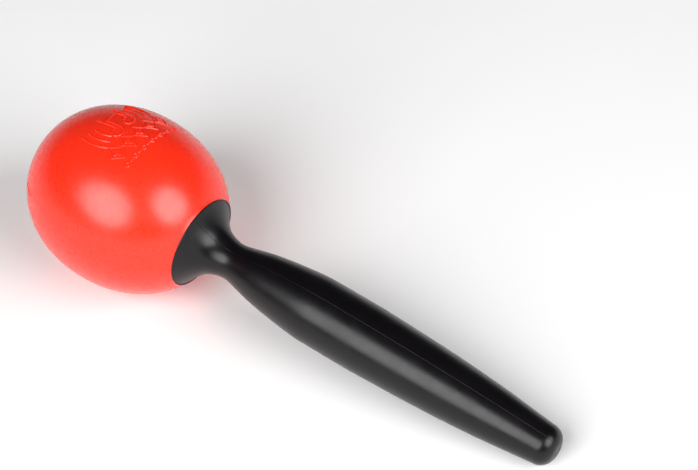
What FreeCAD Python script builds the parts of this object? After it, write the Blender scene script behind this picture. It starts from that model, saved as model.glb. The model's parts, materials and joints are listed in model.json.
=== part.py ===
import FreeCAD, Part
import math
import os

# Egg-headed shaker (a maraca): a hollow moulded egg, a hollow handle made of
# two half shells, and loose steel shot sealed inside the egg.
#
# It is drawn first with its axis along +X, the tip of the egg at x = 0 and the
# butt of the handle at x = LENGTH, and then tipped and lifted so that it lies
# on the ground plane z = 0, touching it with the egg and with the butt.
# All sizes are in millimetres.

V = FreeCAD.Vector
AXIS = V(1, 0, 0)
ORIGIN = V(0, 0, 0)

# --- Egg: two superellipse halves that meet at the widest ring --------------
EGG_RADIUS = 30.0
TIP_HALF = 34.5
MOUTH_HALF = 35.5
TIP_POWER = 2.10
MOUTH_POWER = 2.08
EGG_WALL = 1.8
CURVE_STEPS = 14

# --- Mouth of the egg, where the handle is seated ---------------------------
SEAT_X = 65.0
COLLAR_BORE = 12.8
COLLAR_WALL = 1.8
COLLAR_DEPTH = 6.0

# --- Handle outside: (station along the axis, radius) -----------------------
LENGTH = 203.0
FLARE_AND_NECK = [(66.3, 14.1), (68.4, 11.4), (71.2, 8.75), (74.6, 7.1), (78.4, 6.4), (82.6, 7.05)]
SWELL = [(88.0, 8.35), (95.0, 9.6), (104.0, 10.75)]
GRIP_RADIUS = 11.4
GRIP_START = 113.0
GRIP_END = 127.0
TAPER = [(140.0, 11.1), (153.0, 10.6), (166.0, 9.9), (180.0, 8.8)]
BUTT_RADIUS = 6.9
BUTT_ROUND = 5.0

# --- Handle inside ----------------------------------------------------------
HANDLE_WALL = 2.2
BUTT_WALL = 3.0
SPIGOT_GAP = 0.1
SPIGOT_LENGTH = 9.0
SPIGOT_WALL = 2.0
END_WALL = 1.8
BEAD_RADIUS = 0.9
BEAD_RISE = 0.45
FLARE_INSIDE = [(69.0, 8.3), (72.0, 5.9)]
NECK_INSIDE = (78.4, 4.0)
PARTING_LEAN = 12.0

# --- Webs, bosses and locating pins inside the handle -----------------------
WEB_STATIONS = [97.0, 124.0, 151.0, 178.0]
WEB_THICKNESS = 1.6
BOSS_RADIUS = 3.2
PIN_RADIUS = 1.5
PIN_LENGTH = 3.0
PIN_GAP = 0.05
SOCKET_EXTRA = 0.4

# --- Steel shot -------------------------------------------------------------
SHOT_RADIUS = 2.0
SHOT_PITCH = 4.4
SHOT_RINGS = 3
SHOT_GAP = 0.25


def superellipse_radius(x, inset=0.0):
    """Radius of the egg at station x, on a surface set in by inset."""
    half = MOUTH_HALF if x > TIP_HALF else TIP_HALF
    power = MOUTH_POWER if x > TIP_HALF else TIP_POWER
    share = abs(x - TIP_HALF) / (half - inset)
    if share >= 1.0:
        return 0.0
    return (EGG_RADIUS - inset) * (1.0 - share ** power) ** (1.0 / power)


def egg_station(radius, inset=0.0):
    """Station on the mouth side of the egg where its radius is the one given."""
    share = (1.0 - (radius / (EGG_RADIUS - inset)) ** MOUTH_POWER) ** (1.0 / MOUTH_POWER)
    return TIP_HALF + (MOUTH_HALF - inset) * share


def point(x, r):
    """Point of a cross-section: station x, distance r from the axis."""
    return V(x, 0, r)


def line(*ends):
    """Straight edges through a list of (station, radius) pairs."""
    pts = [point(*e) for e in ends]
    return [Part.makeLine(a, b) for a, b in zip(pts, pts[1:])]


def smooth_curve(pairs, start=None, end=None):
    """One smooth edge through (station, radius) pairs, with optional end directions."""
    curve = Part.BSplineCurve()
    pts = [point(*p) for p in pairs]
    if start is None:
        curve.interpolate(Points=pts)
    else:
        curve.interpolate(Points=pts, InitialTangent=V(*start), FinalTangent=V(*end))
    return curve.toShape()


def quarter_edge(half, power, inset, last_angle, direction):
    """Superellipse quarter from the widest ring outwards, up to last_angle."""
    pairs = []
    for i in range(CURVE_STEPS + 1):
        t = last_angle * i / CURVE_STEPS
        along = (half - inset) * math.sin(t) ** (2.0 / power)
        across = (EGG_RADIUS - inset) * math.cos(t) ** (2.0 / power)
        pairs.append((TIP_HALF + direction * along, max(across, 0.0)))
    return smooth_curve(pairs)


def mouth_angle(x, inset):
    """Superellipse angle at which the mouth side reaches station x."""
    share = (x - TIP_HALF) / (MOUTH_HALF - inset)
    return math.asin(share ** (MOUTH_POWER / 2.0))


def solid_of_revolution(edges, degrees=360.0, direction=1.0):
    """Turn a closed cross-section about the axis."""
    wire = Part.Wire(Part.__sortEdges__(edges))
    return Part.Face(wire).revolve(ORIGIN, AXIS * direction, degrees)


def egg_shell():
    """Hollow egg with a thick collar round its mouth."""
    collar_end = SEAT_X - COLLAR_DEPTH
    collar_outside = COLLAR_BORE + COLLAR_WALL
    meets_wall = egg_station(collar_outside, EGG_WALL)
    seat_radius = superellipse_radius(SEAT_X)
    half_turn = math.pi / 2.0
    edges = [
        quarter_edge(TIP_HALF, TIP_POWER, 0.0, half_turn, -1.0),
        quarter_edge(MOUTH_HALF, MOUTH_POWER, 0.0, mouth_angle(SEAT_X, 0.0), 1.0),
        quarter_edge(TIP_HALF, TIP_POWER, EGG_WALL, half_turn, -1.0),
        quarter_edge(MOUTH_HALF, MOUTH_POWER, EGG_WALL, mouth_angle(meets_wall, EGG_WALL), 1.0),
    ]
    edges += line((SEAT_X, seat_radius), (SEAT_X, COLLAR_BORE), (collar_end, COLLAR_BORE),
                  (collar_end, collar_outside), (meets_wall, collar_outside))
    edges += line((0.0, 0.0), (EGG_WALL, 0.0))
    return solid_of_revolution(edges)


def handle_outside():
    """Edges of the handle's outer surface, from the seat to the butt."""
    butt_start = LENGTH - BUTT_ROUND
    seat = (SEAT_X, superellipse_radius(SEAT_X))
    front = [seat] + FLARE_AND_NECK + SWELL + [(GRIP_START, GRIP_RADIUS)]
    back = [(GRIP_END, GRIP_RADIUS)] + TAPER + [(butt_start, BUTT_RADIUS)]
    flat = BUTT_RADIUS - BUTT_ROUND
    bend = BUTT_ROUND * math.sqrt(0.5)
    round_edge = Part.Arc(point(butt_start, BUTT_RADIUS),
                          point(butt_start + bend, flat + bend),
                          point(LENGTH, flat)).toShape()
    edges = [smooth_curve(front, (0.62, 0, -0.78), (1, 0, 0))]
    edges += line((GRIP_START, GRIP_RADIUS), (GRIP_END, GRIP_RADIUS))
    edges += [smooth_curve(back, (1, 0, 0), (0.995, 0, -0.1)), round_edge]
    edges += line((LENGTH, flat), (LENGTH, 0.0))
    return edges


def spigot_outside():
    """Edges of the spigot that enters the collar, with its snap bead."""
    start = SEAT_X - SPIGOT_LENGTH
    radius = COLLAR_BORE - SPIGOT_GAP
    bead_mid = SEAT_X - COLLAR_DEPTH - BEAD_RADIUS - SPIGOT_GAP
    bead = Part.Arc(point(bead_mid - BEAD_RADIUS, radius),
                    point(bead_mid, radius + BEAD_RISE),
                    point(bead_mid + BEAD_RADIUS, radius)).toShape()
    edges = line((start, 0.0), (start, radius), (bead_mid - BEAD_RADIUS, radius))
    edges += [bead]
    edges += line((bead_mid + BEAD_RADIUS, radius), (SEAT_X, radius), (SEAT_X, superellipse_radius(SEAT_X)))
    return edges


def handle_inside():
    """Edges of the cavity, from the end wall of the spigot to the butt wall."""
    start = SEAT_X - SPIGOT_LENGTH + END_WALL
    bore = COLLAR_BORE - SPIGOT_GAP - SPIGOT_WALL
    end = LENGTH - BUTT_WALL
    grip = [(GRIP_START, GRIP_RADIUS), (GRIP_END, GRIP_RADIUS)]
    walled = [(x, r - HANDLE_WALL) for x, r in SWELL + grip + TAPER]
    butt = (LENGTH - BUTT_ROUND, BUTT_RADIUS - HANDLE_WALL)
    cavity = [(SEAT_X, bore)] + FLARE_INSIDE + [NECK_INSIDE] + walled + [butt]
    edges = line((start, 0.0), (start, bore), (SEAT_X, bore))
    edges += [smooth_curve(cavity)]
    edges += line(butt, (end, butt[1]), (end, 0.0))
    return edges


def handle_half(direction):
    """One plain half shell: direction +1 is the -Y side, -1 the +Y side."""
    start = SEAT_X - SPIGOT_LENGTH
    edges = spigot_outside() + handle_outside() + handle_inside()
    edges += line((start, 0.0), (start + END_WALL, 0.0))
    edges += line((LENGTH - BUTT_WALL, 0.0), (LENGTH, 0.0))
    return solid_of_revolution(edges, 180.0, direction)


def handle_solid_half(direction):
    """The same half with no cavity, used to trim webs and bosses."""
    start = SEAT_X - SPIGOT_LENGTH
    edges = spigot_outside() + handle_outside() + line((start, 0.0), (LENGTH, 0.0))
    return solid_of_revolution(edges, 180.0, direction)


def webs_and_bosses(direction):
    """Half-round webs across the cavity, each with a boss for a locating pin."""
    side = V(0, -direction, 0)
    blanks = []
    for x in WEB_STATIONS:
        disc = Part.makeCylinder(GRIP_RADIUS, WEB_THICKNESS, V(x - WEB_THICKNESS / 2.0, 0, 0), AXIS)
        boss = Part.makeCylinder(BOSS_RADIUS, GRIP_RADIUS, V(x, 0, 0), side)
        blanks += [disc, boss]
    trim = handle_solid_half(direction)
    return [trim.common(blank) for blank in blanks]


def pins(radius, length):
    """Locating pins that stand out of the parting face towards +Y."""
    return [Part.makeCylinder(radius, length, V(x, 0, 0), V(0, 1, 0)) for x in WEB_STATIONS]


def handle_halves():
    """Right half with pins and left half with sockets."""
    right = handle_half(1.0).multiFuse(webs_and_bosses(1.0))
    left = handle_half(-1.0).multiFuse(webs_and_bosses(-1.0))
    roots = [Part.makeCylinder(PIN_RADIUS, PIN_LENGTH, V(x, -PIN_LENGTH, 0), V(0, 1, 0))
             for x in WEB_STATIONS]
    right = right.multiFuse(pins(PIN_RADIUS, PIN_LENGTH) + roots)
    for socket in pins(PIN_RADIUS + PIN_GAP, PIN_LENGTH + SOCKET_EXTRA):
        left = left.cut(socket)
    halves = {"handle_half_right": right.removeSplitter(), "handle_half_left": left.removeSplitter()}
    for half in halves.values():
        half.rotate(ORIGIN, AXIS, PARTING_LEAN)
    return halves


def support(half, power, along, across):
    """Reach of a superellipse from its centre in the direction (along, across)."""
    dual = power / (power - 1.0)
    return ((half * along) ** dual + (EGG_RADIUS * across) ** dual) ** (1.0 / dual)


def egg_depth(tilt):
    """How far the lowest point of the egg is below the tip of the egg."""
    return TIP_HALF * math.sin(tilt) + support(MOUTH_HALF, MOUTH_POWER, math.sin(tilt), math.cos(tilt))


def butt_depth(tilt):
    """How far the lowest point of the butt is below the tip of the egg."""
    return ((LENGTH - BUTT_ROUND) * math.sin(tilt) + (BUTT_RADIUS - BUTT_ROUND) * math.cos(tilt)
            + BUTT_ROUND)


def resting_tilt():
    """Angle at which the egg and the butt touch the ground together, by bisection."""
    low, high = 0.0, math.radians(30.0)
    for _ in range(60):
        middle = (low + high) / 2.0
        if butt_depth(middle) < egg_depth(middle):
            low = middle
        else:
            high = middle
    return (low + high) / 2.0


def resting_place():
    """Placement that lays the shaker down, centred over the origin in X."""
    tilt = resting_tilt()
    least = TIP_HALF * math.cos(tilt) - support(TIP_HALF, TIP_POWER, math.cos(tilt), math.sin(tilt))
    most = ((LENGTH - BUTT_ROUND) * math.cos(tilt) + (BUTT_RADIUS - BUTT_ROUND) * math.sin(tilt)
            + BUTT_ROUND)
    shift = V(-(least + most) / 2.0, 0, egg_depth(tilt))
    return FreeCAD.Placement(shift, FreeCAD.Rotation(V(0, 1, 0), math.degrees(tilt)))


def lattice():
    """Plan positions of the shot: a hexagon of rings round the lowest point."""
    rows = range(-SHOT_RINGS, SHOT_RINGS + 1)
    found = []
    for row in rows:
        for column in rows:
            if abs(row + column) <= SHOT_RINGS:
                x = SHOT_PITCH * (column + row / 2.0)
                y = SHOT_PITCH * row * math.sqrt(0.75)
                found.append((x, y))
    return sorted(found)


def wall_height(place, x, y, direction):
    """Height at which a shot over (x, y) meets the wall above (+1) or below (-1)."""
    inset = EGG_WALL + SHOT_GAP + SHOT_RADIUS
    back = place.inverse()
    centre = place.multVec(V(TIP_HALF, 0, 0))
    near, far = centre.z, centre.z + direction * 1.5 * EGG_RADIUS
    for _ in range(50):
        middle = (near + far) / 2.0
        local = back.multVec(V(x, y, middle))
        if math.hypot(local.y, local.z) < superellipse_radius(local.x, inset):
            near = middle
        else:
            far = middle
    return near


def shot_places(place):
    """Resting centre and free height of each steel shot, in the laid-down frame."""
    tilt = resting_tilt()
    reach = support(MOUTH_HALF, MOUTH_POWER, math.sin(tilt), math.cos(tilt))
    dual = MOUTH_POWER / (MOUTH_POWER - 1.0)
    beyond = MOUTH_HALF ** dual * math.sin(tilt) ** (dual - 1.0) / reach ** (dual - 1.0)
    across = EGG_RADIUS ** dual * math.cos(tilt) ** (dual - 1.0) / reach ** (dual - 1.0)
    lowest = place.multVec(V(TIP_HALF + beyond, 0, -across))
    places = []
    for x, y in lattice():
        floor = wall_height(place, lowest.x + x, y, -1.0)
        roof = wall_height(place, lowest.x + x, y, 1.0)
        places.append((V(lowest.x + x, y, floor), roof - floor))
    return places


def build():
    """All the pieces, laid down, by node name."""
    place = resting_place()
    nodes = {"egg_shell": egg_shell()}
    nodes.update(handle_halves())
    for shape in nodes.values():
        shape.Placement = place.multiply(shape.Placement)
    for number, (centre, _) in enumerate(shot_places(place), start=1):
        nodes["shot_%02d" % number] = Part.makeSphere(SHOT_RADIUS, centre)
    return nodes


def main():
    """Write one STEP file per piece."""
    os.makedirs("parts", exist_ok=True)
    for name, shape in build().items():
        if not shape.isValid():
            raise RuntimeError("the shape of %s is not valid" % name)
        shape.exportStep("parts/%s.step" % name)
        print(name, shape.ShapeType, len(shape.Solids), round(shape.Volume, 1))


main()
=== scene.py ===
"""Finished look of an egg-headed shaker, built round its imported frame.

It is laid out as an add-on: property groups hold the sizes and colours that a user would
change, each operator makes one piece or one group of pieces, and a panel lists them.
Run as a script, it registers the classes and makes everything in order.

Lengths are in metres, except where a comment says millimetres. A piece is drawn about
the shaker's own axis, by its station along the axis from the tip of the egg, its radius,
and its angle round the axis, where zero is the +Y side and a quarter turn is the upper
side.
"""

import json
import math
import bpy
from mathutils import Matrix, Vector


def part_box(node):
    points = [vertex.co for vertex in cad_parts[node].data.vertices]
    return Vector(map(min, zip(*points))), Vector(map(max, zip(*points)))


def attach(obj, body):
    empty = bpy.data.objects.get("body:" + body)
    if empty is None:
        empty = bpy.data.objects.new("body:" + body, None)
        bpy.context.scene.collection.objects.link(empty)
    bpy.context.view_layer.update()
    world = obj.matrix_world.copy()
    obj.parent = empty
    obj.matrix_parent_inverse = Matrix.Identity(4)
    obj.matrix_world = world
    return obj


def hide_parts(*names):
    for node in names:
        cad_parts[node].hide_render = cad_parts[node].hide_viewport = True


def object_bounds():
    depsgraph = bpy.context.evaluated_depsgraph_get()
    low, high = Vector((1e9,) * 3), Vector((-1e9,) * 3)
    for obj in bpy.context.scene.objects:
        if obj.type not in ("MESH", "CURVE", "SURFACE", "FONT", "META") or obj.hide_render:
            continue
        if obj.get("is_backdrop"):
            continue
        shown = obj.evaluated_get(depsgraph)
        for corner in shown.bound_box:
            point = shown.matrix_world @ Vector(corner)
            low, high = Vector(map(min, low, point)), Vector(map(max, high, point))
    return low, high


bl_info = {
    "name": "Egg Shaker",
    "version": (1, 0, 0),
    "blender": (4, 5, 0),
    "location": "3D View > Sidebar > Shaker",
    "description": "Makes an egg-headed shaker with its handle halves, steel shot and studio",
    "category": "Add Mesh",
}

import bpy
import numpy as np
from bpy.props import FloatProperty, FloatVectorProperty, PointerProperty
from mathutils import Matrix, Vector

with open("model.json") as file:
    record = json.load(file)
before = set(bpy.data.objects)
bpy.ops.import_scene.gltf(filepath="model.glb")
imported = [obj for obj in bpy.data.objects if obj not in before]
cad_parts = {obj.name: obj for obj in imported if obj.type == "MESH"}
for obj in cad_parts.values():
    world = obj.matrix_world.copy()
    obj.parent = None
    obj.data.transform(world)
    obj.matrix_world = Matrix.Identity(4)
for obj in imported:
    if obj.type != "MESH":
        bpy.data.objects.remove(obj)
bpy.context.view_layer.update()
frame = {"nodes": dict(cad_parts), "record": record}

# --- The shaker's axis and main sizes, from the frame where it holds them ----
MM = 0.001
BODY = "shaker"
MOUNTS = {mount["name"]: mount for mount in frame["record"]["mounts"]}
GRIP = MOUNTS["grip"]
AXIS = np.array(MOUNTS["butt_face"]["axis"])
SIDE = np.array([0.0, 1.0, 0.0])
UPWARD = np.cross(AXIS, SIDE)
LENGTH = 203.0 * MM
TIP = np.array(MOUNTS["butt_face"]["pos_m"]) - AXIS * LENGTH
EGG_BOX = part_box("egg_shell")
EGG_RADIUS = (EGG_BOX[1].y - EGG_BOX[0].y) / 2.0
GRIP_RADIUS = GRIP["dims"]["r_mm"] * MM
GRIP_MIDDLE = float((np.array(GRIP["pos_m"]) - TIP) @ AXIS)
GRIP_HALF = GRIP["dims"]["length_mm"] * MM / 2.0

# --- Egg: two superellipse halves that meet at the widest ring ---------------
TIP_HALF = 34.5 * MM
MOUTH_HALF = 35.5 * MM
TIP_POWER = 2.10
MOUTH_POWER = 2.08
SEAT = 65.0 * MM
COLLAR_BORE = 12.8 * MM
COLLAR_WALL = 1.8 * MM
COLLAR_DEPTH = 6.0 * MM
MOUTH_LIP = 0.25 * MM
MOUTH_LIP_SHIFT = 0.35
MOUTH_LIP_ANGLE = math.radians(62.0)
LINING_END = SEAT - 1.2 * MM

# --- Handle: (station, radius) of its outline and of its cavity, in millimetres
FLARE_AND_NECK = [(66.3, 14.1), (68.4, 11.4), (71.2, 8.75),
                  (74.6, 7.1), (78.4, 6.4), (82.6, 7.05)]
SWELL = [(88.0, 8.35), (95.0, 9.6), (104.0, 10.75)]
TAPER = [(140.0, 11.1), (153.0, 10.6), (166.0, 9.9), (180.0, 8.8)]
BUTT_RADIUS = 6.9 * MM
BUTT_ROUND = 5.0 * MM
BUTT_WALL = 3.0 * MM
FACE_GROOVE_DEPTH = 0.1 * MM
FACE_GROOVE_EDGES = (0.12 * MM, 0.22 * MM, 0.42 * MM, 0.52 * MM)
# Directions in which the outline leaves the seat and reaches the butt
FLARE_START = (0.62, -0.78)
TAPER_END = (0.995, -0.1)
CAVITY_FLARE = [(69.0, 8.3), (72.0, 5.9)]
CAVITY_NECK = (78.4, 4.0)
SPIGOT_LENGTH = 9.0 * MM
SPIGOT_RADIUS = 12.7 * MM
SPIGOT_WALL = 2.0 * MM
SPIGOT_EDGE = 0.3 * MM
END_WALL = 1.8 * MM
BEAD_HALF = 0.9 * MM
BEAD_RISE = 0.45 * MM
BEAD_GAP = 0.1 * MM
RIM_LIP = 0.3 * MM
RIM_LIP_DROP = 1.25
END_WALL_POINTS = 5
# Webs across the handle; the points at each edge of one stand WEB_EDGE apart
WEB_STATIONS = [97.0 * MM, 124.0 * MM, 151.0 * MM, 178.0 * MM]
WEB_HALF = 0.8 * MM
WEB_NOTCH = 0.6 * MM
WEB_EDGE = 0.02 * MM
WEB_CLEARANCE = 0.2 * MM

# --- Angles round the axis ---------------------------------------------------
HANDLE_PARTING = math.radians(102.0)
EGG_PARTING = math.radians(163.0)
EMBLEM_ANGLE = math.radians(79.0)
EMBLEM_STATION = 31.5 * MM

# --- Emblem, in millimetres from its centre: x round the egg, y towards the tip
RIDGE_FLANK = 0.20
EMBLEM_REACH = (17.0, 13.0)
NOTE_HEADS = [(-4.2, 1.0), (2.8, 1.9)]
NOTE_HEAD_HALVES = (2.3, 1.7)
NOTE_HEAD_LEAN = math.radians(20.0)
NOTE_STEMS = [(-2.6, 5.1), (4.4, 6.0)]
NOTE_STEM_HALVES = (0.7, 4.3)
NOTE_BEAM = (0.9, 8.9)
NOTE_BEAM_HALVES = (4.2, 1.2)
NOTE_BEAM_SLANT = math.radians(7.0)
WAVE_Y = 4.6
WAVE_RADII = (7.9, 10.3, 12.7)
WAVE_SPREAD = math.radians(24.0)
LOZENGES_EACH_SIDE = 2
LOZENGE_PITCH = 5.7
LOZENGE_Y = -4.3
LOZENGE_HALVES = (2.6, 3.1)
LOZENGE_SLOPE = 1.99
LOZENGE_CORE = 0.45
MARKS_EACH_SIDE = 6
MARK_PITCH = 2.15
MARK_Y = -9.8
RING_RADIUS = 0.62
DASH_HALF = 0.5

# --- Scar and parting line of the egg: widths in millimetres, heights in metres
SCAR_FADE = 1.2
SCAR_HALF = 0.26
SCAR_FLANK = 0.24
SCAR_LIP = 0.48
SCAR_LIP_HALF = 0.26
SCAR_LIP_RISE = 0.05 * MM
LINE_HALF = 0.16
LINE_FLANK = 0.14
LINE_RISE = 0.035 * MM

# --- Mesh steps: plain ones, and closer ones over the spans that carry marks --
SHARP_ANGLE = math.radians(38.0)
WELD = 1.0e-8
EGG_STEP = 1.5 * MM
EGG_ANGLE_STEP = math.radians(4.2)
EMBLEM_STEP = 0.14 * MM
EMBLEM_ABOVE = 9.0 * MM
EMBLEM_BELOW = 11.0 * MM
EMBLEM_ARC = 15.6 * MM
SCAR_STEP = 0.3 * MM
SCAR_BEFORE = 1.6 * MM
SCAR_AFTER = 0.6 * MM
LINE_SPAN = math.radians(1.6)
LINE_STEP = math.radians(0.2)
LINING_RINGS = 28
HALF_SHELL_STEPS = 89
SEAM_SHARES = np.array([0.0, 0.12, 0.3, 0.6, 1.0])
HANDLE_STEP = 1.0 * MM
FLARE_STEP = 0.5 * MM
BUTT_STEP = 0.4 * MM
FLARE_END = 90.0 * MM

# --- Finishes: noise scales are in cycles a metre ----------------------------
NOISE_SPAN = (0.3, 0.7)
EGG_IOR = 1.53
EGG_PEBBLE_SCALE = 1300.0
EGG_PEBBLE_STRENGTH = 0.14
EGG_WAVE_SCALE = 90.0
EGG_WAVE_STRENGTH = 0.04
HANDLE_IOR = 1.41
HANDLE_PEBBLE_SCALE = 1500.0
HANDLE_PEBBLE_STRENGTH = 0.35
SCRATCH_SCALE = 6000.0
SCRATCH_STRENGTH = 0.3

# --- Studio ------------------------------------------------------------------
CAMERA_AIM = (0.0004, 0.0322, 0.020)
SENSOR_WIDTH = 36.0
NEAREST_SEEN = 0.01
FLOOR_HALF = 6.0
SOFTBOX_DISTANCE = 1.5
KEY_ANGLES = (-92.0, 38.0)
KEY_SIZE = 1.30
FILL_ANGLES = (-1.0, 33.0)
FILL_SIZE = 1.20
SKY_LOW = (0.95, 0.94, 0.95)
SKY_HIGH = (0.03, 0.03, 0.03)
SKY_BAND = (0.03, 0.12)


# --- Sizes and colours that a user would change ------------------------------
class EggSettings(bpy.types.PropertyGroup):
    """Sizes and colour of the moulded egg."""

    wall: FloatProperty(
        name="Wall", description="Thickness of the egg's shell",
        default=1.8 * MM, min=0.8 * MM, max=4.0 * MM, unit="LENGTH")
    ridge_height: FloatProperty(
        name="Emblem height", description="How far the raised lines of the emblem stand out",
        default=0.34 * MM, min=0.0, max=1.0 * MM, unit="LENGTH")
    ridge_half: FloatProperty(
        name="Emblem line", description="Half the width of a raised line",
        default=0.30 * MM, min=0.1 * MM, max=1.0 * MM, unit="LENGTH")
    scar_depth: FloatProperty(
        name="Scar depth", description="Depth of the pinched line across the tip",
        default=0.32 * MM, min=0.0, max=1.0 * MM, unit="LENGTH")
    scar_reach: FloatProperty(
        name="Scar reach", description="Radius at which the pinched line ends",
        default=24.4 * MM, min=1.0 * MM, max=29.0 * MM, unit="LENGTH")
    colour: FloatVectorProperty(
        name="Colour", description="Colour of the egg's plastic",
        default=(0.90, 0.026, 0.007), min=0.0, max=1.0, subtype="COLOR")
    roughness: FloatProperty(
        name="Roughness", description="Roughness of the egg's surface",
        default=0.28, min=0.0, max=1.0, subtype="FACTOR")


class HandleSettings(bpy.types.PropertyGroup):
    """Sizes and colour of the two handle halves."""

    wall: FloatProperty(
        name="Wall", description="Thickness of the handle's wall",
        default=2.2 * MM, min=1.0 * MM, max=4.0 * MM, unit="LENGTH")
    seam_round: FloatProperty(
        name="Seam rounding", description="Radius of the edges that meet at the parting line",
        default=0.09 * MM, min=0.02 * MM, max=0.5 * MM, unit="LENGTH")
    colour: FloatVectorProperty(
        name="Colour", description="Colour of the handle's plastic",
        default=(0.0026, 0.0020, 0.0030), min=0.0, max=1.0, subtype="COLOR")
    roughness: FloatProperty(
        name="Roughness", description="Roughness of the handle's surface",
        default=0.31, min=0.0, max=1.0, subtype="FACTOR")


class ShotSettings(bpy.types.PropertyGroup):
    """Finish of the loose steel balls."""

    colour: FloatVectorProperty(
        name="Colour", description="Colour of the steel",
        default=(0.56, 0.56, 0.58), min=0.0, max=1.0, subtype="COLOR")


class StudioSettings(bpy.types.PropertyGroup):
    """Camera and lights."""

    azimuth: FloatProperty(
        name="Azimuth", description="Camera's turn from the -Y side towards the butt end",
        default=math.radians(39.5), subtype="ANGLE")
    elevation: FloatProperty(
        name="Elevation", description="Height of the camera above the horizon",
        default=math.radians(46.02), subtype="ANGLE")
    roll: FloatProperty(
        name="Roll", description="Tilt of the camera about its line of sight",
        default=math.radians(-6.08), subtype="ANGLE")
    distance: FloatProperty(
        name="Distance", description="From the camera to the point it aims at",
        default=0.7644, min=0.1, unit="LENGTH")
    lens: FloatProperty(
        name="Lens", description="Focal length of the camera, in millimetres",
        default=119.3, min=10.0)
    key_power: FloatProperty(
        name="Key light", description="Power of the softbox in front, in watts",
        default=26.0, min=0.0)
    fill_power: FloatProperty(
        name="Fill light", description="Power of the softbox at the butt end, in watts",
        default=24.0, min=0.0)
    floor_colour: FloatVectorProperty(
        name="Floor", description="Colour of the floor",
        default=(0.90, 0.90, 0.90), min=0.0, max=1.0, subtype="COLOR")


# --- Outlines ----------------------------------------------------------------
def superellipse_outline(half, power, radius, first, last, count):
    """Points (station, radius) of one half of the egg, for angles from first to last.

    The distance along the axis from the widest ring is half times sin(angle)^(2/power),
    and the radius is radius times cos(angle)^(2/power).
    """
    angle = np.linspace(first, last, count)
    along = half * np.sin(np.abs(angle)) ** (2.0 / power) * np.sign(angle)
    across = radius * np.clip(np.cos(angle), 0.0, 1.0) ** (2.0 / power)
    return np.stack([TIP_HALF + along, across], axis=1)


def egg_outline(inset, end_station, count=900):
    """The egg's outline from the tip pole to end_station, set in from the outside by inset."""
    radius = EGG_RADIUS - inset
    share = (end_station - TIP_HALF) / (MOUTH_HALF - inset)
    last = math.asin(share ** (MOUTH_POWER / 2.0))
    quarter = math.pi / 2.0
    tip = superellipse_outline(TIP_HALF - inset, TIP_POWER, radius, -quarter, 0.0, count)
    mouth = superellipse_outline(MOUTH_HALF - inset, MOUTH_POWER, radius, 0.0, last, count)
    return np.concatenate([tip, mouth[1:]])


def smooth_outline(points, start, end, count=400):
    """Cubic spline through points, leaving in direction start and arriving in direction end.

    Its parameter is the distance along the chords. The slopes at the points solve the usual
    three-term equations, and each span is the cubic with those end slopes.
    """
    points = np.array(points, float)
    steps = np.hypot(*np.diff(points, axis=0).T)
    knots = np.concatenate([[0.0], np.cumsum(steps)])
    size = len(points)
    matrix = np.eye(size)
    right = np.zeros((size, 2))
    right[0], right[-1] = start, end
    inner = np.arange(1, size - 1)
    before, after = steps[:-1, None], steps[1:, None]
    matrix[inner, inner - 1] = steps[1:]
    matrix[inner, inner] = 2.0 * (steps[:-1] + steps[1:])
    matrix[inner, inner + 1] = steps[:-1]
    rise = np.diff(points, axis=0)
    right[1:-1] = 3.0 * (before / after * rise[1:] + after / before * rise[:-1])
    slopes = np.linalg.solve(matrix, right)
    where = np.linspace(0.0, knots[-1], count)
    span = np.clip(np.searchsorted(knots, where, side="right") - 1, 0, size - 2)
    width = steps[span][:, None]
    share = ((where - knots[span])[:, None]) / width
    from_start = (1.0 + 2.0 * share) * (1.0 - share) ** 2 * points[span]
    from_end = share ** 2 * (3.0 - 2.0 * share) * points[span + 1]
    bend_start = share * (1.0 - share) ** 2 * width * slopes[span]
    bend_end = share ** 2 * (share - 1.0) * width * slopes[span + 1]
    return from_start + from_end + bend_start + bend_end


def in_metres(pairs):
    """A list of (station, radius) pairs in millimetres, in metres."""
    return [(x * MM, r * MM) for x, r in pairs]


def seat_radius():
    """Radius of the egg where the handle is seated, from the superellipse's equation.

    The share of the half length and the share of the radius, each raised to the power,
    add up to one.
    """
    share = (SEAT - TIP_HALF) / MOUTH_HALF
    return EGG_RADIUS * (1.0 - share ** MOUTH_POWER) ** (1.0 / MOUTH_POWER)


def arc_outline(centre, radius, first, last, count):
    """Points on a circular arc in the (station, radius) plane.

    Each is the centre plus radius times (cos(angle), sin(angle)).
    """
    angle = np.linspace(first, last, count)
    stations = centre[0] + radius * np.cos(angle)
    radii = centre[1] + radius * np.sin(angle)
    return np.stack([stations, radii], axis=1)


def handle_outline():
    """The handle's outside from the seat to the edge of its flat butt face.

    It is one spline from the seat to the straight grip, one from the grip to the butt,
    and a quarter circle round the butt.
    """
    grip_start = (GRIP_MIDDLE - GRIP_HALF, GRIP_RADIUS)
    grip_end = (GRIP_MIDDLE + GRIP_HALF, GRIP_RADIUS)
    butt_start = LENGTH - BUTT_ROUND
    front = [(SEAT, seat_radius())] + in_metres(FLARE_AND_NECK + SWELL) + [grip_start]
    back = [grip_end] + in_metres(TAPER) + [(butt_start, BUTT_RADIUS)]
    round_centre = (butt_start, BUTT_RADIUS - BUTT_ROUND)
    return np.concatenate([
        smooth_outline(front, FLARE_START, (1.0, 0.0)),
        smooth_outline(back, (1.0, 0.0), TAPER_END),
        arc_outline(round_centre, BUTT_ROUND, math.pi / 2.0, 0.0, 60)[1:]])


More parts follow.
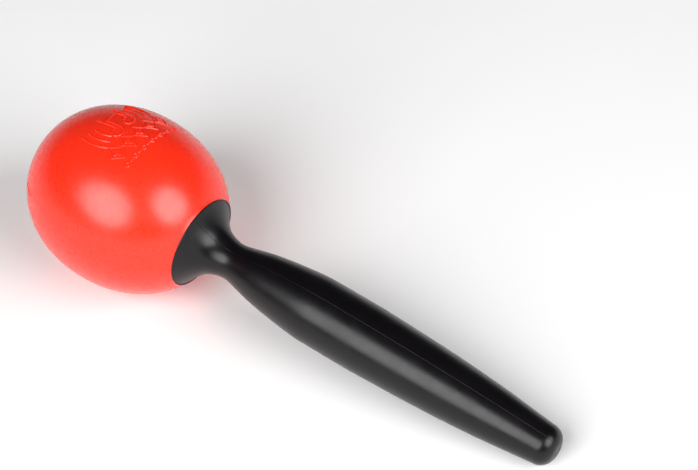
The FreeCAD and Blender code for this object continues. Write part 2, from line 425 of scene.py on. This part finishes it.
def cavity_outline(wall):
    """The handle's inside from the seat to the start of the butt's rounding.

    It is one spline through the flare's and neck's own points, and then through the
    outside's points less the wall.
    """
    grip = [(GRIP_MIDDLE - GRIP_HALF, GRIP_RADIUS), (GRIP_MIDDLE + GRIP_HALF, GRIP_RADIUS)]
    walled = [(x, r - wall) for x, r in in_metres(SWELL) + grip + in_metres(TAPER)]
    bore = (SEAT, SPIGOT_RADIUS - SPIGOT_WALL)
    butt = (LENGTH - BUTT_ROUND, BUTT_RADIUS - wall)
    points = [bore] + in_metres(CAVITY_FLARE + [CAVITY_NECK]) + walled + [butt]
    return smooth_outline(points, (1.0, 0.0), TAPER_END)


def distance_along(outline):
    """Distance from the first point of an outline to each of its points."""
    return np.concatenate([[0.0], np.cumsum(np.hypot(*np.diff(outline, axis=0).T))])


def points_at(outline, places):
    """Points of an outline at the given distances along it."""
    along = distance_along(outline)
    return np.stack([np.interp(places, along, outline[:, k]) for k in (0, 1)], axis=1)


def uneven_steps(start, end, coarse, fine_spots):
    """Places from start to end, coarse apart, and closer inside each (from, to, step) spot.

    The density of places is 1/coarse, or 1/step inside a spot with soft edges, and the
    places divide its running total evenly.
    """
    fine = np.linspace(start, end, 20001)
    density = np.full_like(fine, 1.0 / coarse)
    for low, high, step in fine_spots:
        edge = 2.0 * step
        after_low = np.clip((fine - low) / edge + 1.0, 0.0, 1.0)
        before_high = np.clip((high - fine) / edge + 1.0, 0.0, 1.0)
        density = np.maximum(density, after_low * before_high / step)
    strips = (density[1:] + density[:-1]) / 2.0 * np.diff(fine)
    total = np.concatenate([[0.0], np.cumsum(strips)])
    count = int(math.ceil(total[-1])) + 1
    return np.interp(np.linspace(0.0, total[-1], count), total, fine)


# --- Meshes ------------------------------------------------------------------
def turned(stations, radii, angles):
    """Points at a station along the axis, a radius from it and an angle round it.

    Each is the tip plus station times the axis, plus radius times cos(angle) sideways
    and radius times sin(angle) upwards.
    """
    x, r, a = np.broadcast_arrays(stations, radii, angles)
    return (TIP + x[..., None] * AXIS + (r * np.cos(a))[..., None] * SIDE
            + (r * np.sin(a))[..., None] * UPWARD)


def grid_faces(rows, columns, around=False, first=0):
    """Quads between neighbouring points of a grid; around joins the last column to the first."""
    index = first + np.arange(rows * columns).reshape(rows, columns)
    if around:
        index = np.hstack([index, index[:, :1]])
    corners = [index[:-1, :-1], index[:-1, 1:], index[1:, 1:], index[1:, :-1]]
    return np.stack(corners, axis=-1).reshape(-1, 4)


def weld(points, quads):
    """Joins points that share a place, and makes triangles of quads that lose a corner."""
    keys = np.round(points / WELD).astype(np.int64)
    _, first, index = np.unique(keys, axis=0, return_index=True, return_inverse=True)
    quads = index.reshape(-1)[quads]
    same = quads == np.roll(quads, -1, axis=1)
    whole = quads[~same.any(axis=1)]
    pinched = same.sum(axis=1) == 1
    lost = same[pinched].argmax(axis=1)
    turn = (lost[:, None] + np.arange(1, 4)) % 4
    triangles = np.take_along_axis(quads[pinched], turn, axis=1)
    return points[first], whole, triangles


def new_piece(name, points, quads, material):
    """Adds a closed mesh with smooth faces and sharp edges where the surface turns a corner."""
    points, quads, triangles = weld(points.reshape(-1, 3), quads)
    mesh = bpy.data.meshes.new(name)
    mesh.vertices.add(len(points))
    mesh.vertices.foreach_set("co", points.astype(np.float32).ravel())
    loops = np.concatenate([quads.ravel(), triangles.ravel()]).astype(np.int32)
    mesh.loops.add(len(loops))
    mesh.loops.foreach_set("vertex_index", loops)
    sizes = np.concatenate([np.full(len(quads), 4), np.full(len(triangles), 3)])
    starts = np.concatenate([[0], np.cumsum(sizes)[:-1]]).astype(np.int32)
    mesh.polygons.add(len(sizes))
    mesh.polygons.foreach_set("loop_start", starts)
    mesh.update(calc_edges=True)
    if mesh.validate():
        raise RuntimeError(f"the mesh of {name} had faults")
    mesh.shade_smooth()
    mesh.set_sharp_from_angle(angle=SHARP_ANGLE)
    mesh.materials.append(material)
    piece = bpy.data.objects.new(name, mesh)
    bpy.context.scene.collection.objects.link(piece)
    return piece


# --- Raised emblem -----------------------------------------------------------
def to_stroke(x, y, start, end):
    """Distance from (x, y) to a straight stroke, by way of the nearest point on it."""
    run = np.subtract(end, start)
    share = np.clip(((x - start[0]) * run[0] + (y - start[1]) * run[1]) / (run @ run), 0.0, 1.0)
    return np.hypot(x - start[0] - share * run[0], y - start[1] - share * run[1])


def to_arc(x, y, radius, middle, half):
    """Distance from (x, y) to an arc about the origin, half a spread each side of middle.

    The angle of (x, y) is held inside the spread, and the distance is to the arc's point
    at that angle.
    """
    angle = np.arctan2(y, x) - middle
    angle = np.clip(np.arctan2(np.sin(angle), np.cos(angle)), -half, half) + middle
    return np.hypot(x - radius * np.cos(angle), y - radius * np.sin(angle))


def inside_oval(x, y, centre, wide, high, turn):
    """Distance from the edge of a turned oval, negative inside it.

    It is near times (near - 1) over slope, where near is the distance from the centre as
    a share of the way to the edge. That is close to the true distance near the edge.
    """
    px, py = x - centre[0], y - centre[1]
    u = px * math.cos(turn) + py * math.sin(turn)
    v = py * math.cos(turn) - px * math.sin(turn)
    near = np.hypot(u / wide, v / high)
    slope = np.hypot(u / wide ** 2, v / high ** 2) + 1.0e-9
    return near * (near - 1.0) / slope


def inside_bar(x, y, centre, half_wide, half_high, turn):
    """Distance from the edge of a turned rectangle, negative inside it.

    Outside it is the length of the overshoot in both directions, and inside it is minus
    the distance to the nearest side.
    """
    px, py = x - centre[0], y - centre[1]
    u = np.abs(px * math.cos(turn) + py * math.sin(turn)) - half_wide
    v = np.abs(py * math.cos(turn) - px * math.sin(turn)) - half_high
    return np.hypot(np.maximum(u, 0.0), np.maximum(v, 0.0)) + np.minimum(np.maximum(u, v), 0.0)


def emblem_distance(x, y):
    """Distance in millimetres from the nearest raised line of the emblem.

    The emblem is a pair of joined notes in outline with sound waves on each side, over a
    row of lozenges with solid cores, over a row of rings and dashes. A lozenge's reach is
    the sum of the sideways and upward distances from its middle as shares of its halves,
    and LOZENGE_SLOPE turns it into millimetres.
    """
    notes = inside_bar(x, y, NOTE_BEAM, *NOTE_BEAM_HALVES, NOTE_BEAM_SLANT)
    for head in NOTE_HEADS:
        notes = np.minimum(notes, inside_oval(x, y, head, *NOTE_HEAD_HALVES, NOTE_HEAD_LEAN))
    for stem in NOTE_STEMS:
        notes = np.minimum(notes, inside_bar(x, y, stem, *NOTE_STEM_HALVES, 0.0))
    nearest = np.abs(notes)
    for radius in WAVE_RADII:
        for middle in (0.0, math.pi):
            nearest = np.minimum(nearest, to_arc(x, y - WAVE_Y, radius, middle, WAVE_SPREAD))
    wide, high = LOZENGE_HALVES
    for number in range(-LOZENGES_EACH_SIDE, LOZENGES_EACH_SIDE + 1):
        reach = np.abs(x - LOZENGE_PITCH * number) / wide + np.abs(y - LOZENGE_Y) / high
        outline = LOZENGE_SLOPE * np.abs(reach - 1.0)
        core = np.maximum(LOZENGE_SLOPE * (reach - LOZENGE_CORE), 0.0)
        nearest = np.minimum(nearest, np.minimum(outline, core))
    for number in range(-MARKS_EACH_SIDE, MARKS_EACH_SIDE + 1):
        middle = MARK_PITCH * number
        if number % 2:
            ends = (middle - DASH_HALF, MARK_Y), (middle + DASH_HALF, MARK_Y)
            mark = to_stroke(x, y, *ends)
        else:
            mark = np.abs(np.hypot(x - middle, y - MARK_Y) - RING_RADIUS)
        nearest = np.minimum(nearest, mark)
    return nearest


def soft_ridge(distance, half, edge):
    """One on a line and nought beyond half its width, with an S-shaped flank edge wide."""
    share = np.clip((half - distance) / edge, 0.0, 1.0)
    return share * share * (3.0 - 2.0 * share)


def egg_relief(stations, radii, angles, settings):
    """Height of the egg's moulded marks over its plain surface.

    The emblem is laid on the surface by arc length, its top towards the tip. The pinched
    scar and the parting line follow the two halves of the mould, so their distance is
    measured from the plane through the axis at the egg's parting angle.
    """
    along = distance_along(np.stack([stations[:, 0], radii[:, 0]], axis=1))[:, None]
    centre = np.interp(EMBLEM_STATION, stations[:, 0], along[:, 0])
    across = (EMBLEM_ANGLE - angles) * radii / MM
    upward = (centre - along) / MM * np.ones_like(across)
    distance = emblem_distance(across, upward)
    ridge = soft_ridge(distance, settings.ridge_half / MM, RIDGE_FLANK)
    wide, high = EMBLEM_REACH
    near_emblem = (np.abs(across) < wide) & (np.abs(upward) < high)
    relief = settings.ridge_height * ridge * near_emblem
    off_plane = np.abs(radii * np.sin(angles - EGG_PARTING)) / MM
    reach = np.clip((settings.scar_reach - radii) / (SCAR_FADE * MM), 0.0, 1.0)
    reach = reach * (stations < TIP_HALF)
    groove = soft_ridge(off_plane, SCAR_HALF, SCAR_FLANK) * reach
    lips = soft_ridge(np.abs(off_plane - SCAR_LIP), SCAR_LIP_HALF, SCAR_LIP_HALF) * reach
    line = soft_ridge(off_plane, LINE_HALF, LINE_FLANK) * (1.0 - reach)
    relief = relief - settings.scar_depth * groove
    return relief + SCAR_LIP_RISE * lips + LINE_RISE * line


# --- Materials ---------------------------------------------------------------
def new_material(name):
    """An empty node material, its node tree and its Principled shader."""
    material = bpy.data.materials.new(name)
    material.use_nodes = True
    tree = material.node_tree
    return material, tree, tree.nodes["Principled BSDF"]


def noise(tree, scale, detail, rough=0.5):
    """Noise on the object's own coordinates; scale is in cycles a metre."""
    place = tree.nodes.new("ShaderNodeTexCoord")
    texture = tree.nodes.new("ShaderNodeTexNoise")
    texture.inputs["Scale"].default_value = scale
    texture.inputs["Detail"].default_value = detail
    texture.inputs["Roughness"].default_value = rough
    tree.links.new(place.outputs["Object"], texture.inputs["Vector"])
    return texture.outputs["Fac"]


def remapped(tree, value, low, high, new_low, new_high):
    """A value moved from the range low to high on to the range new_low to new_high."""
    node = tree.nodes.new("ShaderNodeMapRange")
    node.inputs["From Min"].default_value = low
    node.inputs["From Max"].default_value = high
    node.inputs["To Min"].default_value = new_low
    node.inputs["To Max"].default_value = new_high
    tree.links.new(value, node.inputs["Value"])
    return node.outputs["Result"]


def drifting(tree, scale, detail, low=0.0, high=1.0):
    """Noise that wanders from low to high, and keeps to them outside its usual span."""
    return remapped(tree, noise(tree, scale, detail), *NOISE_SPAN, low, high)


def mixed_colour(tree, share, first, second):
    """Colour that goes from first to second as share goes from nought to one."""
    node = tree.nodes.new("ShaderNodeMix")
    node.data_type = "RGBA"
    node.inputs[6].default_value = (*first, 1.0)
    node.inputs[7].default_value = (*second, 1.0)
    tree.links.new(share, node.inputs["Factor"])
    return node.outputs[2]


def bumped(tree, height, distance, strength, under=None):
    """Normal of a surface bumped by height times distance."""
    node = tree.nodes.new("ShaderNodeBump")
    node.inputs["Strength"].default_value = strength
    node.inputs["Distance"].default_value = distance
    tree.links.new(height, node.inputs["Height"])
    if under is not None:
        tree.links.new(under, node.inputs["Normal"])
    return node.outputs["Normal"]


def scaled(colour, factor):
    """A colour made lighter or darker."""
    return tuple(min(1.0, channel * factor) for channel in colour)


def red_plastic(settings):
    """Gloss moulded plastic with a fine pebble and slow drifts of colour and gloss."""
    material, tree, shader = new_material("egg_red_plastic")
    colour = tuple(settings.colour)
    drift = drifting(tree, 40.0, 2.0)
    tint = mixed_colour(tree, drift, scaled(colour, 0.96), scaled(colour, 1.03))
    tree.links.new(tint, shader.inputs["Base Color"])
    gloss = drifting(tree, 420.0, 3.0, settings.roughness - 0.03, settings.roughness + 0.03)
    tree.links.new(gloss, shader.inputs["Roughness"])
    grain = noise(tree, EGG_PEBBLE_SCALE, 1.0, 0.4)
    pebble = bumped(tree, grain, 0.03 * MM, EGG_PEBBLE_STRENGTH)
    swell = noise(tree, EGG_WAVE_SCALE, 1.0)
    waves = bumped(tree, swell, 0.2 * MM, EGG_WAVE_STRENGTH, pebble)
    tree.links.new(waves, shader.inputs["Normal"])
    shader.inputs["IOR"].default_value = EGG_IOR
    return material


def black_plastic(settings):
    """Satin black plastic with a fine pebble and slow drifts of colour and gloss."""
    material, tree, shader = new_material("handle_black_plastic")
    colour = tuple(settings.colour)
    drift = drifting(tree, 70.0, 3.0)
    tint = mixed_colour(tree, drift, scaled(colour, 0.85), scaled(colour, 1.2))
    tree.links.new(tint, shader.inputs["Base Color"])
    gloss = drifting(tree, 260.0, 3.0, settings.roughness - 0.03, settings.roughness + 0.04)
    tree.links.new(gloss, shader.inputs["Roughness"])
    grain = noise(tree, HANDLE_PEBBLE_SCALE, 2.0)
    pebble = bumped(tree, grain, 0.03 * MM, HANDLE_PEBBLE_STRENGTH)
    tree.links.new(pebble, shader.inputs["Normal"])
    shader.inputs["IOR"].default_value = HANDLE_IOR
    return material


def ground_steel(settings):
    """Ground steel with fine scratches."""
    material, tree, shader = new_material("shot_ground_steel")
    colour = tuple(settings.colour)
    drift = drifting(tree, 900.0, 4.0)
    tint = mixed_colour(tree, drift, scaled(colour, 0.85), scaled(colour, 1.1))
    tree.links.new(tint, shader.inputs["Base Color"])
    gloss = drifting(tree, 2500.0, 4.0, 0.22, 0.40)
    tree.links.new(gloss, shader.inputs["Roughness"])
    scratches = bumped(tree, noise(tree, SCRATCH_SCALE, 3.0), 0.01 * MM, SCRATCH_STRENGTH)
    tree.links.new(scratches, shader.inputs["Normal"])
    shader.inputs["Metallic"].default_value = 1.0
    return material


def matt_white(settings):
    """Plain pale floor with a barely visible mottle."""
    material, tree, shader = new_material("studio_floor")
    colour = tuple(settings.floor_colour)
    mottle = drifting(tree, 9.0, 2.0)
    tint = mixed_colour(tree, mottle, scaled(colour, 0.99), scaled(colour, 1.01))
    tree.links.new(tint, shader.inputs["Base Color"])
    shader.inputs["Roughness"].default_value = 0.9
    shader.inputs["Specular IOR Level"].default_value = 0.1
    return material


# --- Operators ---------------------------------------------------------------
class SHAKER_OT_make_egg(bpy.types.Operator):
    """Make the hollow egg with its emblem, pinched scar, parting line and collar"""

    bl_idname = "shaker.make_egg"
    bl_label = "Make Egg"

    def execute(self, context):
        settings = context.scene.shaker_egg
        outside = self.outside_points(settings)
        section = np.concatenate([outside[:-1], self.lining_points(outside, settings.wall)])
        angles = uneven_steps(0.0, 2.0 * math.pi, EGG_ANGLE_STEP, self.fine_angles())[:-1]
        slopes = np.gradient(outside, axis=0)
        outward = np.stack([-slopes[:, 1], slopes[:, 0]], axis=1)
        outward /= np.hypot(*outward.T)[:, None]
        stations = np.repeat(section[:, :1], len(angles), axis=1)
        radii = np.repeat(section[:, 1:], len(angles), axis=1)
        skin = len(outside) - 1
        height = egg_relief(stations[:skin], radii[:skin], angles[None, :], settings)
        stations[:skin] += height * outward[:skin, :1]
        radii[:skin] = np.maximum(radii[:skin] + height * outward[:skin, 1:], 0.0)
        stations[0] = stations[0].mean()
        radii[0] = 0.0
        points = turned(stations, radii, angles[None, :])
        quads = grid_faces(len(section), len(angles), around=True)
        piece = new_piece("egg", points, quads, red_plastic(settings))
        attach(piece, BODY)
        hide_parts("egg_shell")
        return {"FINISHED"}

    @staticmethod
    def outside_points(settings):
        """The outline from the tip to the seat, in close steps at the emblem and scar's end."""
        outline = egg_outline(0.0, SEAT)
        along = distance_along(outline)
        emblem_at = np.interp(EMBLEM_STATION, outline[:, 0], along)
        scar_end = along[np.argmax(outline[:, 1] > settings.scar_reach)]
        spots = [(emblem_at - EMBLEM_ABOVE, emblem_at + EMBLEM_BELOW, EMBLEM_STEP),
                 (scar_end - SCAR_BEFORE, scar_end + SCAR_AFTER, SCAR_STEP)]
        return points_at(outline, uneven_steps(0.0, along[-1], EGG_STEP, spots))

    @staticmethod
    def lining_points(outside, wall):
        """The section's rest: a rounded lip at the mouth, the collar's bore and the inside."""
        lip_x = outside[-1, 0] - MOUTH_LIP_SHIFT * MOUTH_LIP
        lip_centre = (lip_x, outside[-1, 1] - MOUTH_LIP)
        lip_arc = arc_outline(lip_centre, MOUTH_LIP, MOUTH_LIP_ANGLE, 0.0, 5)
        collar_end = SEAT - COLLAR_DEPTH
        collar_outside = COLLAR_BORE + COLLAR_WALL
        collar = np.array([(lip_x + MOUTH_LIP, COLLAR_BORE), (collar_end, COLLAR_BORE),
                           (collar_end, collar_outside)])
        inner = egg_outline(wall, LINING_END)
        inner = inner[(inner[:, 0] < TIP_HALF) | (inner[:, 1] > collar_outside)]
        inner_steps = np.linspace(distance_along(inner)[-1], 0.0, LINING_RINGS)
        return np.concatenate([lip_arc, collar, points_at(inner, inner_steps)])

    @staticmethod
    def fine_angles():
        """Spans of angle that carry fine marks, as (from, to, step)."""
        emblem_half = EMBLEM_ARC / EGG_RADIUS
        step = EMBLEM_STEP / EGG_RADIUS
        spots = [(EMBLEM_ANGLE - emblem_half, EMBLEM_ANGLE + emblem_half, step)]
        for parting in (EGG_PARTING, EGG_PARTING + math.pi):
            spots.append((parting - LINE_SPAN, parting + LINE_SPAN, LINE_STEP))
        return spots


class SHAKER_OT_make_handle(bpy.types.Operator):
    """Make the two half shells of the handle, with spigot, webs and rounded parting edges"""

    bl_idname = "shaker.make_handle"
    bl_label = "Make Handle Halves"

    def execute(self, context):
        settings = context.scene.shaker_handle
        material = black_plastic(settings)
        outside, inside = self.paired_sections(settings.wall)
        halves = {"handle_right": ("handle_half_right", HANDLE_PARTING),
                  "handle_left": ("handle_half_left", HANDLE_PARTING + math.pi)}
        for name, (node, first_angle) in halves.items():
            points, quads = self.half_shell(outside, inside, first_angle, settings.seam_round)
            piece = new_piece(name, points, quads, material)
            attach(piece, BODY)
            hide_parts(node)
        return {"FINISHED"}

    @staticmethod
    def spigot_points():
        """Outside of the spigot from its end wall to the rim, with the snap bead on it.

        The bead stands out by its rise times one less the square of the share of the
        way from its middle to its edge.
        """
        start = SEAT - SPIGOT_LENGTH
        edge = SPIGOT_RADIUS - SPIGOT_EDGE
        end_wall = [(start, 0.0), (start, 4.0 * MM), (start, 8.0 * MM), (start, edge),
                    (start + SPIGOT_EDGE, SPIGOT_RADIUS)]
        share = np.linspace(-1.0, 1.0, 9)
        middle = SEAT - COLLAR_DEPTH - BEAD_HALF - BEAD_GAP
        bead = np.stack([middle + BEAD_HALF * share,
                         SPIGOT_RADIUS + BEAD_RISE * (1.0 - share ** 2)], axis=1)
        root = [(SEAT - 0.2 * MM, SPIGOT_RADIUS), (SEAT, SPIGOT_RADIUS + 0.1 * MM)]
        rim = (SEAT + RIM_LIP, seat_radius() - RIM_LIP_DROP * RIM_LIP)
        rim_arc = arc_outline(rim, RIM_LIP, math.pi, math.radians(50.0), 6)
        return np.concatenate([end_wall, bead, root, rim_arc])

    @staticmethod
    def skin_points():
        """Outside of the handle past the rim, with two points at each edge of each web."""
        outline = handle_outline()
        along = distance_along(outline)
        flare_end = np.interp(FLARE_END, outline[:, 0], along)
        butt_start = np.interp(LENGTH - BUTT_ROUND, outline[:, 0], along)
        spots = [(0.0, flare_end, FLARE_STEP), (butt_start, along[-1], BUTT_STEP)]
        skin = points_at(outline, uneven_steps(2.0 * RIM_LIP, along[-1], HANDLE_STEP, spots))
        edges = np.array([(web + side * WEB_HALF, web + side * (WEB_HALF - WEB_EDGE))
                          for web in WEB_STATIONS for side in (-1.0, 1.0)]).ravel()
        from_web = np.abs(skin[:, :1] - np.array(WEB_STATIONS)).min(axis=1)
        skin = skin[from_web > WEB_HALF + WEB_CLEARANCE]
        extra = np.stack([edges, np.interp(edges, outline[:, 0], outline[:, 1])], axis=1)
        skin = np.concatenate([skin, extra])
        return skin[np.argsort(skin[:, 0], kind="stable")]

    @staticmethod
    def face_points():
        """The flat butt face from its edge to the axis, with a small ring groove in it."""
        flat = BUTT_RADIUS - BUTT_ROUND
        outer, outer_floor, inner_floor, inner = (flat - step for step in FACE_GROOVE_EDGES)
        floor = LENGTH - FACE_GROOVE_DEPTH
        return np.array([(LENGTH, outer), (floor, outer_floor), (floor, inner_floor),
                         (LENGTH, inner), (LENGTH, 0.0)])

    @classmethod
    def paired_sections(cls, wall):
        """Matching points of the outside and the inside, from the spigot's end to the butt.

        Each outside point has one inside point, so that the parting face is a strip
        between them. At a web the inside point drops almost to the axis.
        """
        face = cls.face_points()
        outside = np.concatenate([cls.spigot_points(), cls.skin_points(), face])
        cavity = cavity_outline(wall)
        start = SEAT - SPIGOT_LENGTH
        bore = SPIGOT_RADIUS - SPIGOT_WALL
        floor = LENGTH - BUTT_WALL
        butt_inside = LENGTH - BUTT_ROUND
        x = outside[:, 0]
        squeeze = (floor - butt_inside) / (LENGTH - butt_inside)
        inside_x = np.where(x > butt_inside, butt_inside + (x - butt_inside) * squeeze,
                            np.maximum(x, start + END_WALL))
        inside_r = np.where(inside_x < SEAT, bore,
                            np.interp(inside_x, cavity[:, 0], cavity[:, 1]))
        from_web = np.abs(x[:, None] - np.array(WEB_STATIONS)).min(axis=1)
        inside_r = np.where(from_web < WEB_HALF - WEB_EDGE / 2.0, WEB_NOTCH, inside_r)
        end_of_spigot = np.arange(END_WALL_POINTS)
        inside_x[end_of_spigot] = start + END_WALL
        inside_r[end_of_spigot] = np.linspace(0.0, 1.0, END_WALL_POINTS) * bore
        end_of_butt = np.arange(-len(face), 0)
        inside_x[end_of_butt] = floor
        inside_r[end_of_butt] = np.linspace(0.8, 0.0, len(face)) * (BUTT_RADIUS - wall)
        return outside, np.stack([inside_x, inside_r], axis=1)

    @staticmethod
    def half_shell(outside, inside, first_angle, seam_round):
        """Points and quads of one half shell, turned half a turn from first_angle.

        Near the parting plane the outer radius falls away on a quarter circle, so two
        halves leave a fine groove between them.
        """
        near_seam = seam_round * SEAM_SHARES
        middle = np.linspace(0.0, 1.0, HALF_SHELL_STEPS)[1:-1]
        radius = np.maximum(outside[:, 1:], 1.0e-6)
        first = np.minimum(near_seam / radius, 0.3)
        spread = first[:, -1:] + middle * (math.pi - 2.0 * first[:, -1:])
        angles = np.concatenate([first, spread, math.pi - first[:, ::-1]], axis=1)
        off_plane = radius * np.sin(angles)
        hollow = np.clip(1.0 - off_plane / seam_round, 0.0, 1.0)
        drop = seam_round * (1.0 - np.sqrt(1.0 - hollow ** 2))
        drop = drop * np.clip(outside[:, 1:] / (6.0 * seam_round), 0.0, 1.0)
        columns = angles.shape[1]
        rows = len(outside)
        skin_radius = np.maximum(outside[:, 1:] - drop, 0.0)
        skin = turned(outside[:, :1], skin_radius, first_angle + angles)
        even = np.linspace(0.0, math.pi, columns)[None, :]
        lining = turned(inside[:, :1], inside[:, 1:], first_angle + even)
        points = np.concatenate([skin.reshape(-1, 3), lining.reshape(-1, 3)])
        skin_index = np.arange(rows * columns).reshape(rows, columns)
        lining_index = skin_index + rows * columns
        parting = []
        for column, order in ((0, 1), (columns - 1, -1)):
            strip = np.stack([skin_index[:, column], lining_index[:, column]], axis=1)
            near, far = strip[:, ::order].T
            parting.append(np.stack([near[:-1], near[1:], far[1:], far[:-1]], axis=1))
        lining_quads = grid_faces(rows, columns, first=rows * columns)[:, ::-1]
        return points, np.concatenate([grid_faces(rows, columns), lining_quads] + parting)


class SHAKER_OT_finish_shot(bpy.types.Operator):
    """Give every loose steel ball its ground finish"""

    bl_idname = "shaker.finish_shot"
    bl_label = "Finish Steel Shot"

    def execute(self, context):
        steel = ground_steel(context.scene.shaker_shot)
        for name, node in frame["nodes"].items():
            if name.startswith("shot_"):
                for slot in node.material_slots:
                    slot.material = steel
        return {"FINISHED"}


class SHAKER_OT_make_studio(bpy.types.Operator):
    """Make the floor, the sky, two softboxes and the camera"""

    bl_idname = "shaker.make_studio"
    bl_label = "Make Studio"

    def execute(self, context):
        settings = context.scene.shaker_studio
        low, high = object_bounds()
        aim = (low + high) / 2.0
        self.make_floor(settings, low.z)
        self.make_sky(context.scene)
        self.make_softbox("key_softbox", aim, KEY_ANGLES, KEY_SIZE, settings.key_power)
        self.make_softbox("fill_softbox", aim, FILL_ANGLES, FILL_SIZE, settings.fill_power)
        self.make_camera(context.scene, settings, Vector(CAMERA_AIM))
        context.scene.view_settings.view_transform = "Standard"
        return {"FINISHED"}

    @staticmethod
    def make_floor(settings, height):
        """A wide square floor just under the shaker."""
        half = FLOOR_HALF
        corners = np.array([(-half, -half), (half, -half), (-half, half), (half, half)])
        points = np.concatenate([corners, np.full((4, 1), height)], axis=1)
        quads = np.array([[0, 1, 3, 2]])
        floor = new_piece("studio_floor", points, quads, matt_white(settings))
        floor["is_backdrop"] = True

    @staticmethod
    def make_sky(scene):
        """A world that is pale up to the horizon and dark overhead."""
        world = bpy.data.worlds.new("studio_sky")
        world.use_nodes = True
        tree = world.node_tree
        place = tree.nodes.new("ShaderNodeTexCoord")
        split = tree.nodes.new("ShaderNodeSeparateXYZ")
        tree.links.new(place.outputs["Generated"], split.inputs["Vector"])
        share = remapped(tree, split.outputs["Z"], *SKY_BAND, 0.0, 1.0)
        sky = mixed_colour(tree, share, SKY_LOW, SKY_HIGH)
        tree.links.new(sky, tree.nodes["Background"].inputs["Color"])
        scene.world = world

    @staticmethod
    def make_softbox(name, aim, angles, size, power):
        """A round area light that faces the shaker.

        Its angles are a turn from +X towards +Y and a height above the horizon, in degrees.
        """
        turn, lift = map(math.radians, angles)
        level = math.cos(lift)
        out = Vector((math.cos(turn) * level, math.sin(turn) * level, math.sin(lift)))
        light = bpy.data.lights.new(name, "AREA")
        light.shape = "DISK"
        light.size = size
        light.energy = power
        lamp = bpy.data.objects.new(name, light)
        lamp.location = aim + out * SOFTBOX_DISTANCE
        lamp.rotation_mode = "QUATERNION"
        lamp.rotation_quaternion = (-out).to_track_quat("-Z", "Y")
        bpy.context.scene.collection.objects.link(lamp)

    @staticmethod
    def make_camera(scene, settings, aim):
        """A long-lens camera that looks down at the shaker from its butt end."""
        turn, lift = settings.azimuth, settings.elevation
        level = math.cos(lift)
        back = Vector((math.sin(turn) * level, -math.cos(turn) * level, math.sin(lift)))
        data = bpy.data.cameras.new("studio_camera")
        data.sensor_width = SENSOR_WIDTH
        data.lens = settings.lens
        data.clip_start = NEAREST_SEEN
        camera = bpy.data.objects.new("studio_camera", data)
        upright = (-back).to_track_quat("-Z", "Y").to_matrix()
        rolled = upright @ Matrix.Rotation(settings.roll, 3, "Z")
        place = Matrix.Translation(aim + back * settings.distance)
        camera.matrix_world = place @ rolled.to_4x4()
        scene.collection.objects.link(camera)
        scene.camera = camera


class SHAKER_PT_panel(bpy.types.Panel):
    """Lists the shaker's operators and settings"""

    bl_idname = "SHAKER_PT_panel"
    bl_label = "Egg Shaker"
    bl_space_type = "VIEW_3D"
    bl_region_type = "UI"
    bl_category = "Shaker"

    def draw(self, context):
        layout = self.layout
        for operator, group in STEPS:
            layout.operator(operator)
            settings = getattr(context.scene, group)
            for name in settings.__annotations__:
                layout.prop(settings, name)


STEPS = [
    ("shaker.make_egg", "shaker_egg"),
    ("shaker.make_handle", "shaker_handle"),
    ("shaker.finish_shot", "shaker_shot"),
    ("shaker.make_studio", "shaker_studio"),
]
GROUPS = {
    "shaker_egg": EggSettings,
    "shaker_handle": HandleSettings,
    "shaker_shot": ShotSettings,
    "shaker_studio": StudioSettings,
}
CLASSES = [
    *GROUPS.values(),
    SHAKER_OT_make_egg,
    SHAKER_OT_make_handle,
    SHAKER_OT_finish_shot,
    SHAKER_OT_make_studio,
    SHAKER_PT_panel,
]


def register():
    """Register the classes, and give each scene its groups of settings."""
    for each in CLASSES:
        bpy.utils.register_class(each)
    for name, group in GROUPS.items():
        setattr(bpy.types.Scene, name, PointerProperty(type=group))


def unregister():
    """Take the groups of settings and the classes away again."""
    for name in GROUPS:
        delattr(bpy.types.Scene, name)
    for each in reversed(CLASSES):
        bpy.utils.unregister_class(each)


def main():
    """Make every piece."""
    register()
    bpy.ops.shaker.make_egg()
    bpy.ops.shaker.make_handle()
    bpy.ops.shaker.finish_shot()
    bpy.ops.shaker.make_studio()


if __name__ == "__main__":
    main()
